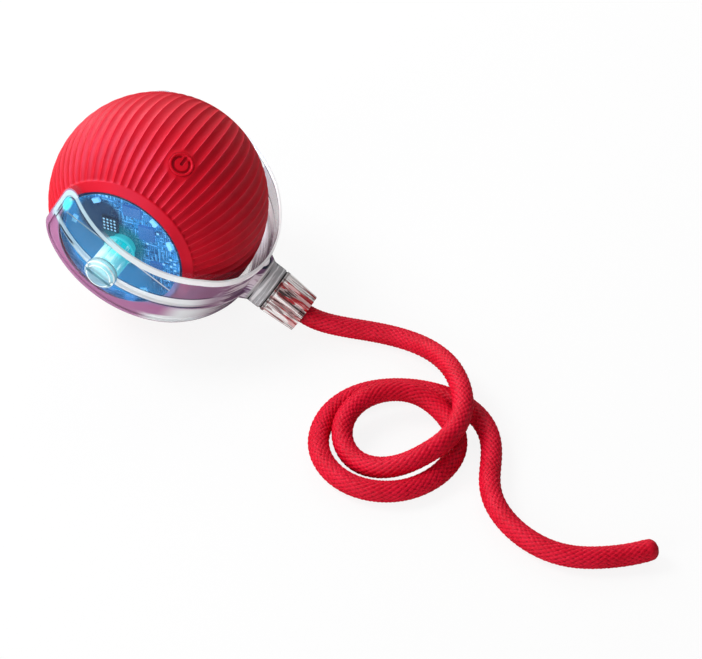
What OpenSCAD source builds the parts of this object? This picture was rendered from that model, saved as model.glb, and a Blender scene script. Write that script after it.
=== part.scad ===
// Self-rolling pet toy: ribbed ball with a lit core, clear trailing yoke and rope tail.
// Millimetres. Z is up, the floor is z = 0, the ball turns about an axis along Y, the neck points to +X.

/* [Ball] */
// Diameter over the rib crests
ball_d = 80; // [78:0.5:84]
// Wall of the silicone sleeve
sleeve_wall = 2.6; // [2.2:0.1:3]
// Polar angle of the rim of the two end openings, degrees
opening_angle = 39; // [38:0.5:40]
// Polar angle where the ribs begin, degrees
rib_start_angle = 45.5; // [44:0.5:50]
// Number of ribs
rib_count = 64; // [40:2:66]
// Turn of the ribs round the ball's axis, degrees
rib_turn = 2.9; // [0:0.1:5.6]
// Radius of the round section of the grooves between ribs
groove_r = 2; // [1.6:0.05:2.1]
// Depth of the grooves
groove_depth = 0.5; // [0.3:0.05:0.6]
// Depth of the bevel at the rim of the openings
land_drop = 0.9; // [0.5:0.1:1.2]

/* [Core] */
// Wall of the half shells
shell_wall = 2; // [1.6:0.1:2.4]
// Gap between pieces that are fixed together
fit_gap = 0.1; // [0.05:0.01:0.15]
// Step from the sleeve's rim to the window recess
recess_lip = 0.5; // [0.4:0.1:0.8]
// Distance of the window's outer face from the ball's centre
window_pos = 29.7; // [29.3:0.1:29.9]
// Thickness of the window
window_t = 1.6; // [1.2:0.1:2]
// Bevel of the window's edge
window_bevel = 0.5; // [0.3:0.1:0.7]
// Space between window and circuit board
board_standoff = 1.4; // [1.2:0.1:1.6]
// Thickness of the circuit boards
board_t = 1.2; // [1:0.1:1.6]
// Thickness of the ledge under the circuit board
ledge_t = 1; // [0.8:0.1:1.4]
// Shank diameter of the screws
screw_d = 2; // [1.8:0.1:2.2]
// Distance of the screws from the ball's axis
screw_pos = 28; // [27.5:0.1:28.5]
// Distance of the screw heads' seats from the ball's middle plane
screw_seat = 6.4; // [6:0.1:7]
// Height of the screw heads
screw_head_h = 1.6; // [1.2:0.1:1.8]
// Reach of the screws past the ball's middle plane
screw_reach = 12; // [9:0.5:12.5]
// Thickness of the chassis plate
chassis_t = 2; // [1.6:0.1:2.4]

/* [Drive] */
// Module of the gears
gear_module = 0.8; // [0.76:0.01:0.82]
// Teeth of the drive gear on the yoke's pin
gear_teeth = 30; // [28:2:32]
// Teeth of the motor pinion
pinion_teeth = 10; // [10:2:12]
// Face width of the gears
gear_w = 4; // [3:0.1:4.5]
// Distance of the gears from the ball's middle plane
gear_pos = 15; // [14.5:0.1:15.5]
// Play between the teeth
backlash = 0.2; // [0.15:0.01:0.3]
// Width of the gear motor
motor_w = 12; // [11:0.1:12.5]
// Height of the gear motor
motor_h = 10; // [9:0.1:10.4]
// Length of the gear motor
motor_len = 24; // [20:0.5:24]
// Diameter of the motor shaft
motor_shaft_d = 3; // [2.5:0.1:3.2]
// Length of the battery
battery_len = 24; // [18:0.5:25]
// Width of the battery
battery_w = 15; // [12:0.1:16]
// Height of the battery
battery_h = 7; // [5:0.1:7.2]

/* [Pivots] */
// Diameter of the pivot pins between window and yoke
pin_d = 10.8; // [10.4:0.1:11]
// Diameter of the journal in the bushing
journal_d = 6; // [5:0.1:6.4]
// Radial running clearance of journals and shafts
running_gap = 0.05; // [0.02:0.01:0.09]
// Wall of the bushing
bushing_wall = 1.6; // [1.4:0.1:1.8]
// Width of the bushing's flange beyond its body
bushing_flange = 1.4; // [1:0.1:1.6]
// Thickness of the bushing's flange
bushing_flange_t = 0.5; // [0.4:0.1:0.6]
// Diameter of the pin's end in the pivot cap
pin_end_d = 4.8; // [4:0.1:5]
// Diameter of the pivot cap
cap_d = 11.8; // [11:0.1:12.4]
// Height of the pivot cap
cap_h = 3.2; // [3:0.1:3.6]
// Width of the coin slot in the pivot cap
slot_w = 1.8; // [1.4:0.1:2.2]
// Depth of the coin slot
slot_depth = 0.9; // [0.6:0.1:1]

/* [Yoke] */
// Gap between ball and yoke at the pivots
yoke_gap = 1.5; // [1.4:0.05:1.8]
// Shift of the yoke's curve from the ball's centre towards the neck
yoke_bow = 1.8; // [1.4:0.1:2]
// Wall of the yoke's strap
yoke_wall = 1.7; // [1.5:0.1:2]
// Angle of the neck below level, degrees
neck_angle = 30; // [28:0.5:32]
// Half width of the strap
strap_half = 14.3; // [13.5:0.1:15]
// Half width of the strap's root at the neck
strap_root_half = 11.2; // [11:0.1:12]
// Reach of the strap's end past the pivot
strap_reach = 27.8; // [26:0.1:29]
// Radius of the corners of the strap's end
strap_corner = 6; // [5:0.1:8]
// Width of the bead along the strap's edge
bead_w = 2; // [1.6:0.1:2.6]
// Height of the bead above the strap
bead_h = 0.6; // [0.4:0.1:1]
// Width of the rib along the strap's middle
rib_w = 2.2; // [1.8:0.1:2.6]
// Thickness of the web under the strap
web_t = 1.2; // [1:0.1:1.6]
// Depth of the web below the yoke's inner face
web_depth = 10.7; // [9:0.1:10.9]

/* [Neck and rope] */
// Diameter of the neck
neck_d = 17.1; // [16.4:0.1:17.6]
// Length of the neck from the yoke's inner face to its shoulder
neck_len = 9.6; // [9:0.1:10.4]
// Diameter of the spigot inside the collar nut
spigot_d = 12.8; // [12.4:0.1:13]
// Thickness of the seal ring
seal_t = 0.7; // [0.5:0.1:0.9]
// Diameter of the collar nut's rope end
collar_end_d = 15.2; // [14.6:0.1:15.6]
// Thickness of the collar nut's end wall
collar_end_t = 2.2; // [1.8:0.1:2.4]
// Number of flutes round the collar nut
flute_count = 14; // [10:1:16]
// Radius of the flutes
flute_r = 1.7; // [1.3:0.1:2]
// Diameter of the rope
rope_d = 7.6; // [7:0.1:7.8]
// Wall of the crimped ferrule on the rope's inner end
ferrule_wall = 1.4; // [1.2:0.1:1.5]

/* [Button] */
// Angle of the button from straight up, degrees
button_lean = 34.8; // [33:0.1:37]
// Angle of the button round the vertical, degrees
button_turn = -36.7; // [-38:0.1:-35]
// Diameter of the button
button_d = 8.6; // [8:0.1:9]
// Gap round the button
button_gap = 0.3; // [0.25:0.01:0.4]
// Width of the smooth pad round the button
pad_w = 0.6; // [0.4:0.1:1]
// Height of the smooth pad above the rib crests
pad_h = 0.12; // [0.08:0.01:0.2]
// Width of the button's raised ring
ring_w = 0.9; // [0.7:0.1:1.2]
// Height of the button's raised ring
ring_h = 0.4; // [0.3:0.05:0.45]
// Travel of the button
button_travel = 0.6; // [0.4:0.05:0.7]
// Width of the switch under the button
switch_w = 6; // [5:0.1:6.4]
// Height of the switch
switch_h = 2.8; // [2.4:0.1:3]

/* [Hidden] */
$fn = 48;
ball_r = ball_d / 2;
sleeve_in = ball_r - sleeve_wall;
shell_out = sleeve_in - fit_gap;
shell_in = shell_out - shell_wall;
opening_r = ball_r * sin(opening_angle);
land_r = ball_r * sin(rib_start_angle - 0.5);
land_z = ball_r * cos(rib_start_angle - 0.5);
land_slope = (ball_r * cos(opening_angle) - land_drop - land_z) / (land_r - opening_r);
recess_r = opening_r - recess_lip;
plate_r = recess_r - fit_gap;
window_in = window_pos - window_t;
board_top = window_in - board_standoff;
board_bottom = board_top - board_t;
ledge_bottom = board_bottom - ledge_t;
ledge_r = plate_r - 2;
tube_r = recess_r + 1.6;
boss_r = screw_d / 2 + 2.2;
screw_head_r = screw_d / 2 + 0.9;
screw_angles = [90, 210, 330];
chassis_r = shell_in - 0.4;
boss_face = chassis_t / 2 + fit_gap;

gear_pitch_r = gear_module * gear_teeth / 2;
pinion_pitch_r = gear_module * pinion_teeth / 2;
shaft_pos = gear_pitch_r + pinion_pitch_r;
motor_front = gear_pos - 4;
motor_back = motor_front - motor_len;
motor_bore = 5;
battery_top = -shaft_pos - motor_h / 2 - 0.8;
battery_mid = battery_top - battery_h / 2;
tray_wall = 1;
tray_bottom = battery_mid - battery_h / 2 - fit_gap - tray_wall;
tray_top = battery_mid + 1;

pin_r = pin_d / 2;
journal_r = journal_d / 2;
bushing_in = journal_r + running_gap;
bushing_r = bushing_in + bushing_wall;
bushing_bottom = board_bottom - 1;
flange_top = window_pos + bushing_flange_t;
pin_start = flange_top + 0.3;
pin_end_r = pin_end_d / 2;
yoke_in = ball_r + yoke_gap;
yoke_out = yoke_in + yoke_wall;
inner_bow = yoke_bow / 2;
pin_top = sqrt(pow(yoke_in, 2) - pow(pin_r + inner_bow, 2)) - fit_gap;
cap_r = cap_d / 2;
cap_seat = sqrt(pow(yoke_out, 2) - pow(cap_r + yoke_bow, 2)) - 0.2;
cap_bottom = cap_seat + 0.05;
cap_top = cap_bottom + cap_h;
cap_bore = cap_bottom + 1.9;

rib_r = rib_w / 2;
strap_turn_x = ball_r * 0.75;
strap_end_x = yoke_out + yoke_bow + bead_h + bead_w + 1;
neck_r = neck_d / 2;
neck_root = yoke_in + inner_bow - 1;
neck_end = yoke_in + inner_bow + neck_len;
web_pos = yoke_in - web_depth;
web_half = ball_r * 0.575;
spigot_r = spigot_d / 2;
rope_r = rope_d / 2;
rope_start = neck_end - 6;
rope_hole_r = rope_r + 0.2;
ferrule_r = rope_r + 0.05 + ferrule_wall;
ferrule_bore = ferrule_r + fit_gap;
ferrule_start = rope_start - 1.2;
ferrule_end = rope_start + 4;
collar_bore = spigot_r + 0.08;
collar_start = neck_end + 2 * fit_gap + seal_t;
collar_end_r = collar_end_d / 2;
collar_end = (ball_r - collar_end_r * cos(neck_angle)) / sin(neck_angle);
collar_hole_r = rope_r + 0.7;
collar_taper = atan((neck_r - collar_end_r) / (collar_end - collar_start));
flute_pos = flute_r - 0.7;
collet_end = collar_end - collar_end_t - 0.3;
collet_start = collet_end - 4;
spigot_end = collet_start - 0.3;

button_r = button_d / 2;
pad_r = button_r + button_gap + pad_w;
button_bottom = shell_out + button_travel + 0.35;
button_top = ball_r - 0.25;
stem_r = 1.5;
switch_top = shell_in - 0.5;
plunger_h = 0.5;
plunger_top = switch_top + plunger_h;
stem_bottom = plunger_top + button_travel + 0.1;
switch_floor = switch_top - switch_h;
switch_board_t = 1.2;
switch_post_x = switch_w / 2 + 2.4;

// Rope: control points of its middle line, from the neck to the free end
rope_sides = 12;
rope_steps = 2;
rope_lead_end = collar_end + 3.2;
rope_lead = [for (k = [0:3]) let (s = rope_start + (rope_lead_end - rope_start) * k / 3)
  [s * cos(neck_angle), 0, ball_r - s * sin(neck_angle)]];
rope_points = concat(rope_lead, [
  [69.5, 1, 4.2], [77.5, 2.8, 3.9], [86, 4.5, 3.8], [94.5, 5, 4], [103, 3.5, 5], [111, -1, 7.4],
  [118, -7, 10], [123.5, -13.5, 12], [128.5, -20.5, 12.8], [132, -28, 12.8], [133.5, -36, 12.8],
  [132.5, -44.5, 12.2], [128, -52, 10.8], [122.5, -57.5, 8.4], [115.5, -60.5, 6.2], [108, -60.5, 4.8],
  [101.5, -57.5, 4.4], [96.5, -52.5, 5.4], [94, -45.5, 7.2], [95, -38, 8.8], [99, -31.5, 9.8],
  [105.5, -26.5, 10], [113, -24, 9], [120.5, -24.5, 6.4], [127, -27.5, 4.2], [132, -33, 3.8],
  [135, -41, 3.8], [134.5, -50, 3.8], [131, -58.5, 3.8], [125, -65.5, 3.8], [116.5, -69.5, 3.8],
  [107.5, -70, 3.8], [99, -67, 3.8], [92, -61, 3.8], [88, -53.5, 3.8], [86.5, -45, 3.8],
  [87.5, -36.5, 3.8], [91.5, -28.5, 3.8], [98, -22.5, 3.8], [106, -18.5, 3.8], [114.5, -16.5, 3.8],
  [123.5, -16.5, 3.8], [132, -19, 3.8], [139.5, -24.5, 3.8], [144.5, -32, 3.8], [147.5, -40.5, 3.8],
  [150, -49, 3.8], [154.5, -57, 3.8], [161.5, -63.5, 3.8], [169.5, -68, 3.8], [178.5, -70.5, 3.8],
  [187.5, -70, 3.8], [196, -66.5, 3.8], [204, -61.5, 3.8], [209, -58, 4.6], [212.5, -55.5, 5.4]]);
rope_last = len(rope_points) - 1;
rope_guide = concat(
  [2 * rope_points[0] - rope_points[1]],
  rope_points,
  [2 * rope_points[rope_last] - rope_points[rope_last - 1]]);
function smooth_point(a, b, c, d, t) = (
  pow(1 - t, 3) * a
  + (3 * pow(t, 3) - 6 * t * t + 4) * b
  + (-3 * pow(t, 3) + 3 * t * t + 3 * t + 1) * c
  + pow(t, 3) * d) / 6;
rope_line = concat(
  [for (i = [0:rope_last - 1], j = [0:rope_steps - 1])
    smooth_point(rope_guide[i], rope_guide[i + 1], rope_guide[i + 2], rope_guide[i + 3], j / rope_steps)],
  [rope_points[rope_last]]);
rope_rings = len(rope_line);
function unit(v) = v / norm(v);
function rope_way(i) = unit(rope_line[min(i + 1, rope_rings - 1)] - rope_line[max(i - 1, 0)]);
function rope_side(i) = unit(cross(rope_way(i), [0, 0, 1]));
function ring_r(i) = rope_r * (i == rope_rings - 1 ? 0.7 : i == rope_rings - 2 ? 0.96 : 1);
function ring_point(i, a) = rope_line[i]
  + ring_r(i) * (cos(a) * rope_side(i) + sin(a) * cross(rope_side(i), rope_way(i)));
rope_gap = min([for (i = [0:rope_rings - 1], j = [0:rope_rings - 1]) if (j > i + 8)
  norm(rope_line[i] - rope_line[j])]) - rope_d;
function line_length(i) = i == 0 ? 0 : norm(rope_line[i] - rope_line[i - 1]) + line_length(i - 1);
echo("least gap of the rope to itself, mm", rope_gap);
echo("length of the rope, mm", line_length(rope_rings - 1));

// Outline of one gear: for each tooth two foot points and a curved flank on each side
function flank_angle(r, base) = let (a = acos(base / r)) tan(a) * 180 / PI - a;
function gear_outline(teeth, turn) = let (
    pitch = gear_module * teeth / 2,
    base = pitch * cos(20),
    tip = pitch + 0.95 * gear_module,
    foot = pitch - 1.2 * gear_module,
    start = max(base, foot) + 0.01,
    half = 90 / teeth - backlash / 4 / pitch * 180 / PI + flank_angle(pitch, base),
    levels = [for (k = [0:3]) start + (tip - start) * k / 3])
  [for (i = [0:teeth - 1]) let (mid = turn + i * 360 / teeth)
    each concat(
      [let (a = mid - half + flank_angle(start, base)) foot * [cos(a), sin(a)]],
      [for (r = levels) let (a = mid - half + flank_angle(r, base)) r * [cos(a), sin(a)]],
      [for (k = [3:-1:0]) let (r = levels[k], a = mid + half - flank_angle(r, base)) r * [cos(a), sin(a)]],
      [let (a = mid + half - flank_angle(start, base)) foot * [cos(a), sin(a)]])];

// Outline of the strap seen along the ball's axis: round corners past the pivot, tapered strip to the neck
function strap_outline(inset) = concat(
  [for (side = [1, -1], a = [0:9:90]) let (turn = side > 0 ? 90 + a : 180 + a)
    [strap_corner - strap_reach + (strap_corner - inset) * cos(turn),
      side * (strap_half - strap_corner) + (strap_corner - inset) * sin(turn)]],
  [[strap_turn_x, inset - strap_half], [strap_end_x, inset - strap_root_half],
    [strap_end_x, strap_root_half - inset], [strap_turn_x, strap_half - inset]]);

// Frame with its Z along the ball's axis, side -1 for the left end and 1 for the right end
module at_pole(side) {
  translate([0, 0, ball_r]) rotate([-90 * side, 0, 0]) children();
}

// Frame with its X along the neck
module at_neck() {
  translate([0, 0, ball_r]) rotate([0, neck_angle, 0]) children();
}

// Frame with its Z along the neck
module along_neck() {
  at_neck() rotate([0, 90, 0]) children();
}

// Frame with its Z along the button
module at_button() {
  translate([0, 0, ball_r]) rotate([0, button_lean, button_turn]) children();
}

// Ring from z0 to z1
module ring(outer, inner, z0, z1) {
  translate([0, 0, z0]) difference() {
    cylinder(r = outer, h = z1 - z0);
    translate([0, 0, -1]) cylinder(r = inner, h = z1 - z0 + 2);
  }
}

// Bar with a square section, centred on x and y
module bar(w, d, z0, z1) {
  translate([-w / 2, -d / 2, z0]) cube([w, d, z1 - z0]);
}

// Hollow ball
module hollow_ball(outer, inner) {
  difference() {
    sphere(r = outer);
    sphere(r = inner);
  }
}

module sleeve_belt() {
  difference() {
    hollow_ball(ball_r, sleeve_in);
    translate([0, 0, -ball_r]) cylinder(r = opening_r, h = 2 * ball_r);
    for (i = [0:rib_count - 1]) rotate([0, 0, (i + 0.5) * 360 / rib_count]) sleeve_groove();
    for (end = [0, 1]) mirror([0, 0, end]) sleeve_bevel();
  }
}

// Ring that is cut off a pole's rim, so that the land round the opening is a cone
module sleeve_bevel() {
  rotate_extrude($fn = 96) polygon([
    [land_r, land_z], [opening_r - 1, land_z + (land_r - opening_r + 1) * land_slope],
    [opening_r - 1, ball_r + 1], [land_r + 2, ball_r + 1], [land_r + 2, land_z - 2 * land_slope]]);
}

module sleeve_groove() {
  span = 90 - rib_start_angle;
  rotate([90, 0, 0]) rotate([0, 0, -span]) rotate_extrude(angle = 2 * span)
    translate([ball_r + groove_r - groove_depth, 0]) circle(r = groove_r, $fn = 24);
}

module sleeve() {
  color([0.80, 0.06, 0.17]) difference() {
    union() {
      at_pole(-1) rotate([0, 0, 90 + rib_turn]) sleeve_belt();
      at_button() intersection() {
        hollow_ball(ball_r + pad_h, sleeve_in + 0.5);
        cylinder(r = pad_r, h = ball_d);
      }
    }
    at_button() cylinder(r = button_r + button_gap, h = ball_d);
  }
}

module screw_places() {
  for (a = screw_angles) rotate([0, 0, a]) translate([screw_pos, 0, 0]) children();
}

module half_shell() {
  difference() {
    union() {
      hollow_ball(shell_out, shell_in);
      intersection() {
        sphere(r = shell_out);
        union() {
          ring(tube_r, ledge_r, ledge_bottom, shell_out);
          screw_places() translate([0, 0, boss_face]) cylinder(r = boss_r, h = shell_out);
        }
      }
    }
    translate([0, 0, fit_gap / 2 - shell_out - 1]) cylinder(r = shell_out + 1, h = shell_out + 1);
    translate([0, 0, board_bottom]) cylinder(r = recess_r, h = shell_out);
    translate([0, 0, ledge_bottom - 1]) cylinder(r = ledge_r, h = shell_out);
    screw_places() cylinder(r = screw_d / 2 + fit_gap / 2, h = screw_reach + 2);
  }
}

module left_shell() {
  color([0.20, 0.21, 0.23]) difference() {
    union() {
      at_pole(-1) difference() {
        half_shell();
        screw_places() translate([0, 0, screw_seat]) cylinder(r = screw_head_r + 0.2, h = shell_out);
      }
      at_button() for (x = [-switch_post_x, switch_post_x]) translate([x, 0, switch_floor + 0.05])
        cylinder(r = 1.1, h = shell_in - switch_floor + 0.6);
    }
    at_button() cylinder(r = stem_r + 0.4, h = ball_r);
  }
}

module right_shell() {
  color([0.20, 0.21, 0.23]) at_pole(1) mirror([0, 1, 0]) half_shell();
}

module window_plate() {
  difference() {
    union() {
      translate([0, 0, window_in]) cylinder(r = plate_r, h = window_t - window_bevel);
      translate([0, 0, window_pos - window_bevel])
        cylinder(r1 = plate_r, r2 = plate_r - window_bevel, h = window_bevel);
      ring(plate_r, plate_r - 1.2, board_top + 0.05, window_in + 0.5);
    }
    cylinder(r = bushing_r + fit_gap, h = ball_r);
  }
}

module left_window() {
  color([0.75, 0.88, 0.95, 0.4]) at_pole(-1) window_plate();
}

module right_window() {
  color([0.75, 0.88, 0.95, 0.4]) at_pole(1) difference() {
    window_plate();
    translate([0, usb_y, 0]) bar(usb_w + 0.4, usb_d + 0.4, board_top, ball_r);
  }
}

module bushing() {
  difference() {
    union() {
      translate([0, 0, bushing_bottom]) cylinder(r = bushing_r, h = window_pos - bushing_bottom + 0.2);
      translate([0, 0, window_pos + 0.05])
        cylinder(r = bushing_r + bushing_flange, h = bushing_flange_t - 0.05);
    }
    cylinder(r = bushing_in, h = ball_r);
  }
}

module left_bushing() {
  color([0.92, 0.93, 0.93]) at_pole(-1) bushing();
}

module right_bushing() {
  color([0.92, 0.93, 0.93]) at_pole(1) bushing();
}

module board() {
  difference() {
    translate([0, 0, board_bottom + 0.05]) cylinder(r = plate_r, h = board_t - 0.05);
    cylinder(r = bushing_r + fit_gap, h = ball_r);
  }
}

module control_board() {
  color([0.05, 0.16, 0.42]) at_pole(-1) board();
}

module light_board() {
  color([0.05, 0.16, 0.42]) at_pole(1) board();
}

// Parts on the boards: places as shares of the board's radius, sizes as [width, depth, height]
chip_places = [[0.41, 0.36], [0.2, 0.695], [0.53, -0.25]];
chip_sizes = [[6, 6, 1], [7, 4.4, 1.1], [4.4, 5.4, 1]];
matrix_place = [-0.185, 0.345];
matrix_w = 0.252 * plate_r;
led_angles = [18, 48, 118, 162, 250, 290, 334];
led_ring_r = plate_r - 4.6;
usb_y = -0.62 * plate_r;
usb_w = 9;
usb_d = 3.3;

module control_chips() {
  color([0.07, 0.07, 0.08]) at_pole(-1) for (i = [0:len(chip_places) - 1])
    translate([chip_places[i][0] * plate_r, chip_places[i][1] * plate_r, 0])
      bar(chip_sizes[i][0], chip_sizes[i][1], board_top + 0.02, board_top + chip_sizes[i][2]);
}

module led_matrix() {
  place = matrix_place * plate_r;
  color([0.10, 0.11, 0.13]) at_pole(-1) translate([place[0], place[1], 0]) {
    bar(matrix_w, matrix_w, board_top + 0.02, board_top + 0.8);
    for (x = [-1.5:1.5], y = [-1.5:1.5]) translate([x * matrix_w / 4.4, y * matrix_w / 4.4, board_top + 0.5])
      cylinder(r = 0.7, h = 0.55, $fn = 24);
  }
}

module board_leds() {
  color([0.75, 0.95, 1.0]) for (side = [-1, 1]) at_pole(side) for (a = led_angles)
    rotate([0, 0, a]) translate([led_ring_r, 0, 0]) bar(1.8, 3, board_top + 0.02, board_top + 0.9);
}

module usb_socket() {
  color([0.72, 0.73, 0.75]) at_pole(1) translate([0, usb_y, 0]) difference() {
    bar(usb_w, usb_d, board_top + 0.02, window_pos);
    bar(usb_w - 0.7, usb_d - 0.7, board_top + 0.6, ball_r);
  }
}

module chassis() {
  color([0.30, 0.31, 0.33]) translate([0, 0, ball_r]) difference() {
    union() {
      rotate([90, 0, 0]) translate([0, 0, -chassis_t / 2]) cylinder(r = chassis_r, h = chassis_t);
      bar(
        battery_w + 2 * fit_gap + 2 * tray_wall,
        battery_len + 2 * fit_gap + 2 * tray_wall,
        tray_bottom,
        tray_top);
    }
    bar(battery_w + 2 * fit_gap, battery_len + 2 * fit_gap, tray_bottom + tray_wall, battery_top + fit_gap);
    translate([0, 0, -shaft_pos])
      cube([motor_w + 2 * fit_gap, ball_r, motor_h + 2 * fit_gap], center = true);
    translate([0, 0, 12]) rotate([90, 0, 0]) cylinder(r = 9, h = ball_r, center = true);
    at_chassis_screws() cylinder(r = screw_d / 2 + 0.2, h = ball_r, center = true);
  }
}

module at_chassis_screws() {
  rotate([90, 0, 0]) screw_places() children();
}

module battery() {
  color([0.12, 0.35, 0.62]) translate([0, 0, ball_r + battery_mid])
    cube([battery_w, battery_len, battery_h], center = true);
}

module motor() {
  color([0.70, 0.71, 0.72]) translate([0, 0, ball_r - shaft_pos]) rotate([-90, 0, 0]) difference() {
    union() {
      bar(motor_w, motor_h, motor_front - 9, motor_front);
      intersection() {
        bar(motor_w, motor_h, motor_back, motor_front - 8);
        translate([0, 0, motor_back]) cylinder(d = motor_w, h = motor_len);
      }
    }
    translate([0, 0, motor_front - motor_bore]) cylinder(r = motor_shaft_d / 2 + running_gap, h = ball_r);
  }
}

module motor_shaft() {
  color([0.62, 0.63, 0.65]) translate([0, 0, ball_r - shaft_pos]) rotate([-90, 0, 0])
    translate([0, 0, motor_front - motor_bore + 0.3])
      cylinder(d = motor_shaft_d, h = motor_bore - 0.3 + gear_pos - motor_front + gear_w + 0.4);
}

module motor_pinion() {
  color([0.90, 0.88, 0.80]) translate([0, 0, ball_r - shaft_pos]) rotate([-90, 0, 0]) difference() {
    translate([0, 0, gear_pos]) linear_extrude(gear_w) polygon(gear_outline(pinion_teeth, 90));
    cylinder(r = motor_shaft_d / 2 + 0.03, h = ball_r);
  }
}

module drive_gear() {
  color([0.90, 0.88, 0.80]) translate([0, 0, ball_r]) rotate([-90, 0, 0]) difference() {
    translate([0, 0, gear_pos]) linear_extrude(gear_w)
      polygon(gear_outline(gear_teeth, 90 + 180 / gear_teeth));
    cylinder(r = journal_r + 0.03, h = ball_r);
  }
}

module shell_screws() {
  color([0.75, 0.76, 0.78]) at_pole(-1) screw_places() {
    translate([0, 0, screw_seat + fit_gap / 2]) cylinder(r = screw_head_r, h = screw_head_h);
    translate([0, 0, -screw_reach]) cylinder(r = screw_d / 2, h = screw_seat + screw_reach + fit_gap);
  }
}

module switch_board() {
  color([0.05, 0.35, 0.20]) at_button() bar(
    2 * switch_post_x + 3, switch_w + 3, switch_floor - switch_board_t, switch_floor);
}

module tact_switch() {
  color([0.15, 0.15, 0.16]) at_button() {
    bar(switch_w, switch_w, switch_floor + 0.02, switch_top);
    translate([0, 0, switch_top - 0.3]) cylinder(r = stem_r + 0.2, h = plunger_h + 0.3);
  }
}

module power_button() {
  color([0.86, 0.10, 0.20]) at_button() {
    translate([0, 0, button_bottom]) cylinder(r = button_r, h = button_top - button_bottom);
    ring(button_r, button_r - ring_w, button_top - 0.3, button_top + ring_h);
    translate([0, 0, stem_bottom]) cylinder(r = stem_r, h = button_bottom - stem_bottom + 0.3);
  }
}

module strap() {
  module prism(inset) {
    rotate([90, 0, 0]) linear_extrude(4 * ball_r, center = true) polygon(strap_outline(inset));
  }
  intersection() {
    translate([yoke_bow, 0, 0]) sphere(r = yoke_out);
    prism(0);
  }
  intersection() {
    translate([yoke_bow, 0, 0]) sphere(r = yoke_out + bead_h);
    difference() {
      prism(0);
      prism(bead_w);
    }
  }
  intersection() {
    translate([yoke_bow, 0, 0]) rotate_extrude($fn = 96)
      translate([yoke_out - 0.2, 0]) circle(r = rib_r, $fn = 24);
    prism(0.3);
  }
}

module yoke_webs() {
  intersection() {
    translate([inner_bow, 0, 0]) sphere(r = yoke_in + 0.5);
    union() {
      for (side = [-1, 1]) translate([-web_half, side > 0 ? web_pos : -web_pos - ball_r, -web_t / 2])
        cube([2 * web_half, ball_r, web_t]);
    }
  }
}

module yoke() {
  color([0.82, 0.85, 0.90, 0.45]) at_neck() difference() {
    union() {
      difference() {
        union() {
          strap();
          rotate([0, 90, 0]) {
            translate([0, 0, neck_root]) cylinder(r1 = neck_r + 3, r2 = neck_r, h = 5.6);
            translate([0, 0, neck_root]) cylinder(r = neck_r, h = neck_end - neck_root);
            translate([0, 0, neck_root]) cylinder(r = spigot_r, h = spigot_end - neck_root);
          }
        }
        translate([inner_bow, 0, 0]) sphere(r = yoke_in);
      }
      yoke_webs();
    }
    rotate([0, 90, 0]) {
      cylinder(r = ferrule_bore, h = ferrule_end + fit_gap);
      cylinder(r = rope_hole_r, h = spigot_end + 1);
    }
    for (side = [-1, 1]) rotate([-90 * side, 0, 0]) {
      translate([0, 0, pin_start - 1])
        cylinder(r = pin_r + fit_gap, h = pin_top - pin_start + 1 + fit_gap / 2);
      cylinder(r = pin_end_r + 0.05, h = ball_d);
      translate([0, 0, cap_seat]) cylinder(r = cap_r + 0.2, h = ball_r);
    }
  }
}

module pivot_pin(inner_end) {
  translate([0, 0, pin_start]) cylinder(r = pin_r, h = pin_top - pin_start);
  translate([0, 0, inner_end]) cylinder(r = journal_r, h = pin_start - inner_end + 1);
  translate([0, 0, pin_top - 1]) cylinder(r = pin_end_r, h = cap_bore - 0.2 - pin_top + 1);
}

module left_pivot_pin() {
  color([0.55, 0.90, 1.0, 0.6]) at_pole(-1) pivot_pin(bushing_bottom - 0.6);
}

module right_pivot_pin() {
  color([0.55, 0.90, 1.0, 0.6]) at_pole(1) pivot_pin(gear_pos - 0.4);
}

module pivot_cap(slot_angle) {
  difference() {
    union() {
      translate([0, 0, cap_bottom]) cylinder(r = cap_r, h = cap_h - 1);
      translate([0, 0, cap_top - 1]) cylinder(r1 = cap_r, r2 = cap_r - 1.2, h = 1);
    }
    cylinder(r = pin_end_r + 0.05, h = cap_bore);
    rotate([0, 0, slot_angle]) bar(ball_d, slot_w, cap_top - slot_depth, ball_d);
  }
}

module left_pivot_cap() {
  color([0.88, 0.91, 0.95, 0.6]) at_pole(-1) pivot_cap(-neck_angle);
}

module right_pivot_cap() {
  color([0.88, 0.91, 0.95, 0.6]) at_pole(1) pivot_cap(neck_angle);
}

module rope_ferrule() {
  color([0.80, 0.81, 0.82]) along_neck() difference() {
    translate([0, 0, ferrule_start]) cylinder(r = ferrule_r, h = ferrule_end - ferrule_start);
    translate([0, 0, rope_start - 0.05]) cylinder(r = rope_r + 0.05, h = ball_r);
  }
}

module rope_collet() {
  color([0.90, 0.90, 0.88]) along_neck() difference() {
    translate([0, 0, collet_start]) cylinder(r1 = collar_bore - 0.3, r2 = collar_bore - 1.2, h = 4);
    cylinder(r = rope_r + 0.1, h = collet_end + 1);
    translate([0, -0.4, collet_start - 1]) cube([ball_r, 0.8, 6]);
  }
}

module collar_seal() {
  color([0.10, 0.10, 0.11]) along_neck()
    ring(neck_r - 0.35, collar_bore, neck_end + fit_gap, neck_end + fit_gap + seal_t);
}

module collar_nut() {
  color([0.88, 0.90, 0.94, 0.5]) along_neck() difference() {
    translate([0, 0, collar_start]) cylinder(r1 = neck_r, r2 = collar_end_r, h = collar_end - collar_start);
    translate([0, 0, collar_start - 1])
      cylinder(r = collar_bore, h = collar_end - collar_end_t - collar_start + 1);
    cylinder(r = collar_hole_r, h = collar_end + 1);
    for (i = [0:flute_count - 1]) rotate([0, 0, (i + 0.5) * 360 / flute_count])
      translate([neck_r + flute_pos, 0, collar_start + 1.2]) rotate([0, -collar_taper, 0])
        cylinder(r = flute_r, h = ball_r, $fn = 24);
  }
}

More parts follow.
